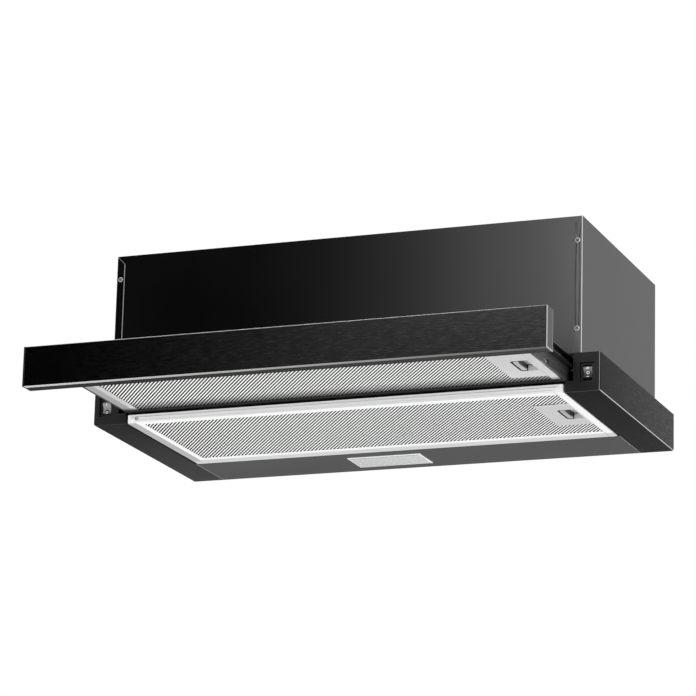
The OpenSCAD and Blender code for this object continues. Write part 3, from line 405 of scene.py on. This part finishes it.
# the rockers catch the light on their upper half, with a dark outline round the ring
for key, cz, t0, t1 in (("fan_rocker", -0.177, -0.1790, -0.1705), ("light_rocker", -0.1816, -0.1870, -0.1800)):
    q = plastic(key, 0.008, 0.011, 0.2, 0.28, grain=900, bump=0.04, raw=True)
    lo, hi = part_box(key)
    o3 = q.xyz()
    q.over(q.ease(o3[2], t0, t1, 0.0, 1.0), 0.26)
    rx = q.math("SUBTRACT", o3[0], (lo.x + hi.x) / 2)
    rz = q.math("SUBTRACT", o3[2], cz)
    rr = q.math("SQRT", q.math("ADD", q.math("MULTIPLY", rx, rx), q.math("MULTIPLY", rz, rz)))
    q.line(0.004, (rr, "<", 0.0026))
    MAT[key] = q.m
# the pan heads: a dark ring of painted shade for the drive recess round a bright centre
q = metal("pan_heads", 0.50, 0.62, 0.25, 0.35, scale=300, metallic=0.5, raw=True)
o3 = q.xyz()
hx = q.math("SUBTRACT", q.math("ABSOLUTE", o3[0]), 0.2729)
hz = q.math("SUBTRACT", q.math("ABSOLUTE", q.math("ADD", o3[2], 0.0778)), 0.0498)
hr = q.math("SQRT", q.math("ADD", q.math("MULTIPLY", hx, hx), q.math("MULTIPLY", hz, hz)))
q.line(0.01, (hr, ">", 0.0007), (hr, "<", 0.0018))
MAT["pan_heads"] = q.m
# the lens has a raised rim with a fine groove inside it, drawn as a painted highlight on the rim and painted shade in
# the groove
q = plastic("lens", 0.60, 0.64, 0.25, 0.3, grain=700, bump=0.02, tint=(0.98, 1, 0.99), raw=True)
lo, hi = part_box("lamp_lens")
o3 = q.xyz()
ex = q.math("MINIMUM", q.math("SUBTRACT", o3[0], lo.x), q.math("SUBTRACT", hi.x, o3[0]))
ey = q.math("MINIMUM", q.math("SUBTRACT", o3[1], lo.y), q.math("SUBTRACT", hi.y, o3[1]))
ee = q.math("MINIMUM", ex, ey)
q.line(0.88, (ee, "<", 0.0022), (o3[2], "<", lo.z + 0.0012))
q.line(0.36, (ee, ">", 0.0022), (ee, "<", 0.0032), (o3[2], "<", lo.z + 0.0012))
MAT["lens"] = q.m
# the caps: black like the visor at the front, grey at the side, with painted highlight lines down the front and rear
# right edges and along the bottom right edge
q = plastic("cap_two_tone", 0.045, 0.055, 0.3, 0.4, bump=0.08, raw=True)
lo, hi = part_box("right_visor_cap")
o3 = q.xyz()
q.over(q.math("LESS_THAN", o3[1], lo.y + 0.0003), 0.006)
q.line(0.50, (o3[0], ">", hi.x - 0.0006), (o3[1], "<", lo.y + 0.0014))
q.line(0.25, (o3[0], ">", hi.x - 0.0006), (o3[1], ">", hi.y - 0.0014))
q.line(0.50, (o3[0], ">", hi.x - 0.0008), (o3[2], "<", lo.z + 0.0010))
MAT["cap_two_tone"] = q.m
# painted shade: the latch plates are dark inside the recess and along a line across its middle, and so is the latch
# beside its lip and along the same line
for key in ("base", "drawer"):
    lo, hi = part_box(key + "_latch_plate")
    q = brushed(key + "_plate", X, [(0.3, 0.62), (0.5, 0.66), (0.7, 0.70)], 0.36, 0.46, metallic=0.3, bump=0.04, fine=700, run=20, raw=True)
    o3 = q.xyz()
    q.line(0.012, (o3[2], ">", lo.z + 0.0004), (o3[0], "<", 0.2336))
    off = q.math("ABSOLUTE", q.math("SUBTRACT", o3[1], (lo.y + hi.y) / 2))
    q.line(0.02, (o3[2], ">", lo.z + 0.0010), (off, "<", 0.0010))
    MAT[key + "_plate"] = q.m
    mid = (lo.y + hi.y) / 2
    q = metal(key + "_latch", 0.55, 0.68, 0.3, 0.4, scale=120, metallic=0.5, raw=True)
    o3 = q.xyz()
    deep = q.math("GREATER_THAN", o3[2], lo.z + 0.0014)
    q.over(q.math("MULTIPLY", deep, q.math("LESS_THAN", o3[0], 0.2336)), 0.012)
    crease_shade = q.math("LESS_THAN", q.math("ABSOLUTE", q.math("SUBTRACT", o3[1], mid)), 0.0016)
    q.over(q.math("MULTIPLY", deep, crease_shade), 0.02)
    MAT[key + "_latch"] = q.m
# the drawer cassette's frame: the left strip's underside darker and the rear darkening, painted shade, and a thin dark
# seam line on the right strip
lo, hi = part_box("drawer_filter_frame")
q = brushed("drawer_strip", X, [(0.3, 0.62), (0.5, 0.66), (0.7, 0.70)], 0.36, 0.46, metallic=0.3, bump=0.04, fine=700, run=20, raw=True)
o3 = q.xyz()
under = (o3[2], "<", lo.z + 0.0006)
q.line(0.42, (o3[0], "<", lo.x + 0.0150), under)
q.line(0.25, (o3[0], ">", 0.2481), (o3[0], "<", 0.2486), under)
q.over(q.ease(q.xyz()[1], hi.y - 0.016, hi.y - 0.004, 0.0, 1.0), 0.02)
MAT["drawer_strip"] = q.m
# both pads: the roots above the crests are painted dark, painted shade
MAT["base_mesh"] = mesh_metal("base_mesh", 0.96, 1.0, 0.1, crest=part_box("base_filter_mesh")[0].z)
# the drawer's pad darkens towards its rear edge, under the base cassette: painted shade
MAT["drawer_mesh"] = mesh_metal("drawer_mesh", 0.96, 1.0, 0.1, crest=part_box("drawer_filter_mesh")[0].z, shade_edge=(hi.y - 0.034, hi.y - 0.002, 0.09))
# the base cassette's frame: the rear strip and the left strip's underside darker, painted shade, with a painted
# highlight band and a painted shade line at the left edge, a thin dark seam line on the right strip, and the head of
# its rivet at the left end of the front strip
lo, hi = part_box("base_filter_frame")
q = brushed("base_strip", X, [(0.3, 0.88), (0.5, 0.91), (0.7, 0.94)], 0.36, 0.46, metallic=0.04, bump=0.04, fine=700, run=20, shade_zones=[(Y, 0.045, 0.70)], raw=True)
o3 = q.xyz()
under = (o3[2], "<", lo.z + 0.0006)
q.line(0.44, (o3[0], "<", lo.x + 0.0150), (o3[1], ">", lo.y + 0.0012), (o3[1], "<", hi.y - 0.0120), under)
q.line(0.85, (o3[0], "<", lo.x + 0.0044), under)
q.line(0.10, (o3[0], ">", lo.x + 0.0014), (o3[0], "<", lo.x + 0.0028), under)
q.line(0.25, (o3[0], ">", 0.2481), (o3[0], "<", 0.2486), under)
# the head of the rivet at the left end of the front strip, drawn in painted shade: a dark ring and a dark centre
rx = q.math("ADD", o3[0], 0.2458)
rz = q.math("SUBTRACT", o3[2], lo.z + 0.0050)
rr = q.math("SQRT", q.math("ADD", q.math("MULTIPLY", rx, rx), q.math("MULTIPLY", rz, rz)))
q.line(0.08, (rr, ">", 0.0013), (rr, "<", 0.0021), (o3[1], "<", lo.y + 0.0012))
q.line(0.01, (rr, "<", 0.0007), (o3[1], "<", lo.y + 0.0012))
MAT["base_strip"] = q.m

SLOT = {s["node"]: s["material_slot"] for s in frame["record"]["subparts"]}
OWN = {
    "right_base_rail": "rail_right", "left_base_rail": "rail_left", "fan_rocker": "fan_rocker", "lamp_lens": "lens", "light_rocker": "light_rocker", "right_front_bracket": "bracket_edge", "right_side_panel": "side_right", "left_side_panel": "side_left", "housing_screws": "pan_heads",
    "visor_panel": "visor_sheet", "left_visor_cap": "cap_two_tone", "right_visor_cap": "cap_two_tone",
    "base_latch_plate": "base_plate", "drawer_latch_plate": "drawer_plate", "base_filter_latch": "base_latch", "drawer_filter_latch": "drawer_latch",
    "drawer_filter_frame": "drawer_strip", "base_filter_frame": "base_strip", "drawer_slide_screws": "drawer_screw",
}
MAT["drawer_screw"] = painted("drawer_screw", 0.10, 0.14, 0.3, 0.4)
for name, o in N.items():
    for ms in o.material_slots:
        ms.material = MAT[OWN.get(name, SLOT[name])]


# ---------------------------------------------------------------- edges
def soften(name, width, segments=2, angle=40):
    """A small bend radius on the edges of a CAD node, as a modifier."""
    o = N[name]
    w = o.modifiers.new("weld", "WELD")
    w.merge_threshold = 0.00002
    b = o.modifiers.new("bevel", "BEVEL")
    b.width = width
    b.segments = segments
    b.limit_method = "ANGLE"
    b.angle_limit = math.radians(angle)
    b.use_clamp_overlap = False
    b.harden_normals = False
    o.data.polygons.foreach_set("use_smooth", [True] * len(o.data.polygons))
    k = o.modifiers.new("flat faces", "WEIGHTED_NORMAL")
    k.mode = "FACE_AREA"
    k.weight = 100
    k.keep_sharp = False


for n, wd in {
    "left_side_panel": 0.00035, "right_side_panel": 0.00035,
    "base_filter_frame": 0.0003, "drawer_filter_frame": 0.0003, "base_latch_plate": 0.0003, "drawer_latch_plate": 0.0003,
    "lamp_lens": 0.0003, "outlet_collar": 0.0004,
}.items():
    soften(n, wd)

# ---------------------------------------------------------------- filter mesh
PX, PY = 4.6, 6.2  # repeat of the expanded aluminium along X and along Y, in mm


def ribs(rect, cut, crest, up, zig):
    """Vertices and faces of one sheet of expanded aluminium, in mm.
    The strands of one diagonal stand out as ridges and the others bridge them.
    crest is the height of the ridges' crests and up is the way from crest to root."""
    V, F = [], []
    d = Vector((1 / PY, -1 / PX)).normalized()
    nrm = Vector((-d.y, d.x))
    step = 0.5 * math.hypot(PX, PY)
    x0, x1, y0, y1 = rect
    mg = 0.9

    def spans(px):
        # stretches of the line x = px at y = 0 that lie inside rect and outside cut
        ta, tb = -1e9, 1e9
        for o, dd, lo, hi in ((px, d.x, x0 + mg, x1 - mg), (0.0, d.y, y0 + mg, y1 - mg)):
            a, b = (lo - o) / dd, (hi - o) / dd
            ta, tb = max(ta, min(a, b)), min(tb, max(a, b))
        out = [(ta, tb)] if tb - ta > 1 else []
        if cut:
            ca, cb = -1e9, 1e9
            for o, dd, lo, hi in ((px, d.x, cut[0] - mg, cut[1] + mg), (0.0, d.y, cut[2] - mg, cut[3] + mg)):
                a, b = (lo - o) / dd, (hi - o) / dd
                ca, cb = max(ca, min(a, b)), min(cb, max(a, b))
            if cb > ca:
                out = [s for a, b in out for s in ((a, min(b, ca)), (max(a, cb), b)) if s[1] - s[0] > 1]
        return out

    prof = [(-0.95, 0.30), (-0.75, 0.0), (0.75, 0.0), (0.95, 0.30), (0.40, 1.12), (-0.40, 1.12)]
    lean = d.x / abs(d.y)
    k0 = int(math.floor((x0 + y0 * lean) / PX)) - 2
    k1 = int(math.ceil((x1 + y1 * lean) / PX)) + 2
    for k in range(k0, k1):
        px = k * PX
        for a, b in spans(px):
            if zig:
                i0, i1 = math.ceil(a / step + 0.2), math.floor(b / step - 0.2)
                ts = [a] + [i * step for i in range(i0, i1 + 1)] + [b]
            else:
                ts = [a, b]
            base = len(V)
            for t in ts:
                i = round(t / step)
                s = (1 if i % 2 else -1) if zig else 0
                c = Vector((px, 0.0)) + d * t
                for u, w in prof:
                    q = c + nrm * (u * (1 + 0.03 * s))
                    V.append((q.x, q.y, crest + up * (w + 0.03 * s + 0.03)))
            m5 = len(prof)
            for j in range(len(ts) - 1):
                for e in range(m5):
                    f = (e + 1) % m5
                    F.append((base + j * m5 + e, base + j * m5 + f, base + (j + 1) * m5 + f, base + (j + 1) * m5 + e))
            F.append(tuple(base + e for e in reversed(range(m5))))
            F.append(tuple(base + (len(ts) - 1) * m5 + e for e in range(m5)))
        # bridges to the next ridge, along the other diagonal
        e2 = Vector((-d.x, d.y))
        for a, b in spans(px):
            i0, i1 = math.ceil(a / step), math.floor(b / step)
            for i in range(i0, i1 + 1):
                if (i + k) % 2:
                    continue
                p = Vector((px, 0.0)) + d * (i * step)
                q = p - e2 * step
                if not (x0 + mg < q.x < x1 - mg and y0 + mg < q.y < y1 - mg):
                    continue
                if cut and cut[0] - mg < q.x < cut[1] + mg and cut[2] - mg < q.y < cut[3] + mg:
                    continue
                s2 = Vector((-e2.y, e2.x)) * 0.22
                n0 = len(V)
                for zz in (1.15, 1.4):
                    for c in (p + s2, p - s2, q - s2, q + s2):
                        V.append((c.x, c.y, crest + up * zz))
                F += [(n0, n0 + 3, n0 + 2, n0 + 1), (n0 + 4, n0 + 5, n0 + 6, n0 + 7), (n0, n0 + 1, n0 + 5, n0 + 4),
                      (n0 + 1, n0 + 2, n0 + 6, n0 + 5), (n0 + 2, n0 + 3, n0 + 7, n0 + 6), (n0 + 3, n0, n0 + 4, n0 + 7)]
    return V, F


def folded(rect, cut, z, h, pitch):
    """A folded inner sheet, closed, cut back round the latch pocket."""
    V, F = [], []
    x0, x1, y0, y1 = rect

    def strip(xa, xb, ya, yb):
        n = max(1, int((xb - xa) / pitch)) * 2
        b = len(V)
        for i in range(n + 1):
            x = xa + (xb - xa) * i / n
            zz = z + (h if i % 2 else 0)
            for y in (ya, yb):
                V.append((x, y, zz))
            for y in (ya, yb):
                V.append((x, y, zz + 0.25))
        for i in range(n):
            p, q = b + 4 * i, b + 4 * (i + 1)
            F.extend([(p, p + 1, q + 1, q), (p + 2, q + 2, q + 3, p + 3), (p, q, q + 2, p + 2), (p + 1, p + 3, q + 3, q + 1)])
        F.append((b, b + 2, b + 3, b + 1))
        e = b + 4 * n
        F.append((e, e + 1, e + 3, e + 2))

    strip(x0 + 1, cut[0] - 1, y0 + 1, y1 - 1)
    strip(cut[0] - 0.9, x1 - 1, y0 + 1, cut[2] - 1)
    strip(cut[0] - 0.9, x1 - 1, cut[3] + 1, y1 - 1)
    return V, F


def filter_mesh(node, body, ly, look):
    """The pad of one cassette: a ridged outer sheet below, a plain one above and a folded one between."""
    lo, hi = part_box(node)
    x0, x1, y0, y1 = (v * 1000 for v in (lo.x, hi.x, lo.y, hi.y))
    z0, z1 = lo.z * 1000, hi.z * 1000
    rect = (x0, x1, y0, y1)
    cut = (209.0, 270.0, ly - 24, ly + 24)
    V, F, idx = [], [], []

    def add(vf, mi):
        b = len(V)
        V.extend(vf[0])
        F.extend(tuple(b + i for i in f) for f in vf[1])
        idx.extend([mi] * len(vf[1]))

    add(ribs(rect, cut, z0 + 0.02, 1, True), 0)
    add(ribs(rect, cut, z1 - 0.02, -1, False), 0)
    # the folded inner sheet takes mesh_dark, near black: painted shade inside the pad
    add(folded(rect, cut, z0 + 1.5, 0.9, 7.0), 1)
    me = bpy.data.meshes.new(node + "_sheets")
    me.from_pydata([Vector(v) / 1000 for v in V], [], F)
    bm = bmesh.new()
    bm.from_mesh(me)
    bmesh.ops.recalc_face_normals(bm, faces=bm.faces)
    bm.to_mesh(me)
    bm.free()
    me.materials.append(MAT[look])
    me.materials.append(MAT["mesh_dark"])
    for p, i in zip(me.polygons, idx):
        p.material_index = i
    o = bpy.data.objects.new(node + "_sheets", me)
    bpy.context.scene.collection.objects.link(o)
    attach(o, body)
    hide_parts(node)
    return o


def latch_centre(node):
    lo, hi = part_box(node)
    return (lo.y + hi.y) * 500


filter_mesh("base_filter_mesh", "base_filter", latch_centre("base_latch_plate"), "base_mesh")
filter_mesh("drawer_filter_mesh", "drawer_filter", latch_centre("drawer_latch_plate"), "drawer_mesh")


# ---------------------------------------------------------------- marks on the rockers
def rocker_marks(node, body, tilt, items, name):
    """Generic marks, printed on the two slanted faces of a rocker: bars and a ring."""
    lo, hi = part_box(node)
    cx = (lo.x + hi.x) / 2
    pivot = Vector((cx, -0.1316, -0.177))
    rot = Matrix.Rotation(math.radians(tilt), 4, "X")
    bm = bmesh.new()

    def face_frame(z):
        # point on the rocker's face at height z from its middle, and the face's own up direction
        s = 1 if z >= 0 else -1
        up = Vector((0, -3.3 * s, 9)).normalized()
        nn = Vector((0, -9, -3.3 * s)).normalized()
        return Vector((0, -4.3 - 3.3 * abs(z) / 9, z)), up, nn

    def prism(loop, z, thick=0.12):
        c, up, nn = face_frame(z)
        vs = []
        for off in (-0.08, thick):
            vs.append([bm.verts.new(rot @ ((c + Vector((1, 0, 0)) * a + up * b + nn * off) / 1000) + pivot) for a, b in loop])
        k = len(loop)
        bm.faces.new(vs[1])
        bm.faces.new(list(reversed(vs[0])))
        for i in range(k):
            j = (i + 1) % k
            bm.faces.new((vs[0][i], vs[0][j], vs[1][j], vs[1][i]))

    def bar(ax, z, w, h):
        r = min(w, h) * 0.35
        pts = []
        for sx, sy, a0 in ((1, 1, 0), (-1, 1, 90), (-1, -1, 180), (1, -1, 270)):
            for a in (0, 45, 90):
                t = math.radians(a0 + a)
                pts.append((ax + sx * (w / 2 - r) + r * math.cos(t), sy * (h / 2 - r) + r * math.sin(t)))
        prism(pts, z)

    def ring(z, ro, ri):
        n = 32
        rows = []
        for rr, off in ((ri, -0.08), (ro, -0.08), (ro, 0.12), (ri, 0.12)):
            row = []
            for i in range(n):
                a = 2 * math.pi * (i + 0.5) / n
                zz = z + rr * math.sin(a)
                q = Vector((rr * math.cos(a), -4.3 - 3.3 * abs(zz) / 9 - off, zz))
                row.append(bm.verts.new(rot @ (q / 1000) + pivot))
            rows.append(row)
        for a in range(4):
            b = (a + 1) % 4
            for i in range(n):
                j = (i + 1) % n
                bm.faces.new((rows[a][i], rows[b][i], rows[b][j], rows[a][j]))

    for it in items:
        if it[0] == "bar":
            bar(*it[1:])
        else:
            ring(*it[1:])
    bmesh.ops.recalc_face_normals(bm, faces=bm.faces)
    me = bpy.data.meshes.new(name)
    bm.to_mesh(me)
    bm.free()
    me.materials.append(MAT["mark_white"])
    o = bpy.data.objects.new(name, me)
    bpy.context.scene.collection.objects.link(o)
    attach(o, body)
    return o


rocker_marks("fan_rocker", "fan_rocker", 0, [("bar", 0, 4.9, 3.4, 1.5), ("ring", 0, 1.9, 1.0), ("bar", 0.0, -4.6, 3.0, 0.9)], "fan_marks")
rocker_marks("light_rocker", "light_rocker", 10, [("bar", 0.0, 4.6, 0.9, 2.8), ("ring", -4.6, 1.5, 0.85)], "light_marks")


# ---------------------------------------------------------------- stage and light
def plane(name, size_x, size_y, matrix, mat):
    me = bpy.data.meshes.new(name)
    a, b = size_x / 2, size_y / 2
    me.from_pydata([(-a, -b, 0), (a, -b, 0), (a, b, 0), (-a, b, 0)], [], [(0, 1, 2, 3)])
    me.materials.append(mat)
    o = bpy.data.objects.new(name, me)
    o.matrix_world = matrix
    bpy.context.scene.collection.objects.link(o)
    o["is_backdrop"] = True
    return o


floor_mat = Mat("floor_pale", spec=0.2)
floor_mat.color(floor_mat.noise((1.5, 1.5, 1.5), 3), [(0.3, 0.86), (0.7, 0.88)])
floor_mat.b.inputs["Roughness"].default_value = 0.8
plane("floor", 120, 120, Matrix.Translation((0, 0, -5.6)), floor_mat.m)

world = bpy.data.worlds.new("world")
bpy.context.scene.world = world
world.use_nodes = True
world.node_tree.nodes["Background"].inputs["Color"].default_value = (1, 1, 1, 1)
world.node_tree.nodes["Background"].inputs["Strength"].default_value = 1.0


def aim(pos, target):
    pos, target = Vector(pos), Vector(target)
    q = (target - pos).to_track_quat("-Z", "Y")
    return Matrix.Translation(pos) @ q.to_matrix().to_4x4()


def area(name, pos, target, sx, sy, power, color=(1, 1, 1)):
    ld = bpy.data.lights.new(name, "AREA")
    ld.shape = "RECTANGLE"
    ld.size, ld.size_y = sx, sy
    ld.energy = power
    ld.color = color
    o = bpy.data.objects.new(name, ld)
    o.matrix_world = aim(pos, target)
    o.visible_camera = False
    bpy.context.scene.collection.objects.link(o)
    return o


def card(name, pos, target, sx, sy, stops, axis=0):
    """A graded reflector, seen only in glossy reflections."""
    q = Mat(name)
    t = q.t
    t.nodes.remove(q.b)
    em = q.node("ShaderNodeEmission")
    sep = q.node("ShaderNodeSeparateXYZ")
    q.link(q.tc.outputs["Object"], sep.inputs[0])
    mr = q.node("ShaderNodeMapRange")
    half = (sx if axis == 0 else sy) / 2
    mr.inputs["From Min"].default_value = -half
    mr.inputs["From Max"].default_value = half
    q.link(sep.outputs[axis], mr.inputs["Value"])
    r = q.node("ShaderNodeValToRGB")
    el = r.color_ramp.elements
    while len(el) < len(stops):
        el.new(0.5)
    for e, (p, c) in zip(el, stops):
        e.position = p
        e.color = (c, c, c, 1)
    q.link(mr.outputs["Result"], r.inputs["Fac"])
    q.link(r.outputs["Color"], em.inputs["Color"])
    em.inputs["Strength"].default_value = 1.0
    q.link(em.outputs[0], t.nodes["Material Output"].inputs["Surface"])
    o = plane(name, sx, sy, aim(pos, target), q.m)
    o.visible_camera = False
    o.visible_diffuse = False
    o.visible_shadow = False
    o.visible_transmission = False
    o.visible_volume_scatter = False
    return o


# the housing's front and the visor reflect these cards: black at the left, grey at the right
SPAN = 2.6


def graded(name, z, h, table):
    """A strip at y = -2, x from -2.6 to 0, whose glow follows a table of (x, value)."""
    card(name, (-SPAN / 2, -2.0, z), (-SPAN / 2, 0.0, z), SPAN, h, [((x + SPAN) / SPAN, v) for x, v in table])


graded("housing_card", 0.69, 0.62, [(-2.6, 0.0), (-0.92, 0.0), (-0.83, 0.05), (-0.74, 0.17), (-0.65, 0.39), (-0.56, 0.76), (-0.47, 1.42), (-0.38, 1.78), (-0.352, 1.62), (-0.346, 3.0), (0.0, 3.0)])
graded("visor_card", 0.13, 0.50, [(-2.6, 0.0), (-0.93, 0.0), (-0.85, 0.05), (-0.76, 0.14), (-0.68, 0.27), (-0.59, 0.46), (-0.45, 0.38), (-0.28, 0.28), (0.0, 0.24)])
# the undersides reflect a dim card behind and below, and the right sides a grey one behind and above
card("back_low", (-1.2, 3.0, -1.1), (-1.2, 0.0, -1.1), 2.9, 1.5, [(0.0, 0.22), (0.4, 0.16), (0.7, 0.06), (1.0, 0.05)])
card("back_high", (1.6, 3.0, 0.95), (1.6, 0.0, 0.95), 2.6, 1.7, [(0.0, 0.62), (1.0, 0.62)])


def glint(name, pos, target, sx, sy, glow):
    """A softbox that only glints: it shows on bends and edges and adds no soft light."""
    o = area(name, pos, target, sx, sy, glow * math.pi * sx * sy)
    o.visible_diffuse = False
    return o


glint("key_right", (2.85, -1.2, 0.75), (0.28, -0.14, -0.08), 3.0, 2.0, 1)
glint("key_left", (-2.7, 0.8, 0.75), (0.2, -0.14, -0.08), 2.0, 1.6, 1)
glint("key_top", (-1.0, 0.7, 2.7), (0, -0.2, 0), 2.2, 2.2, 6)
glint("rim_low", (1.15, 3.0, -1.35), (0.3, 0, -0.2), 1.3, 1.0, 6)
fill_low = area("fill_low", (-0.6, -2.0, -2.6), (0, -0.05, -0.15), 2.4, 1.6, 46)
fill_low.visible_glossy = False

lo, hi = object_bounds()
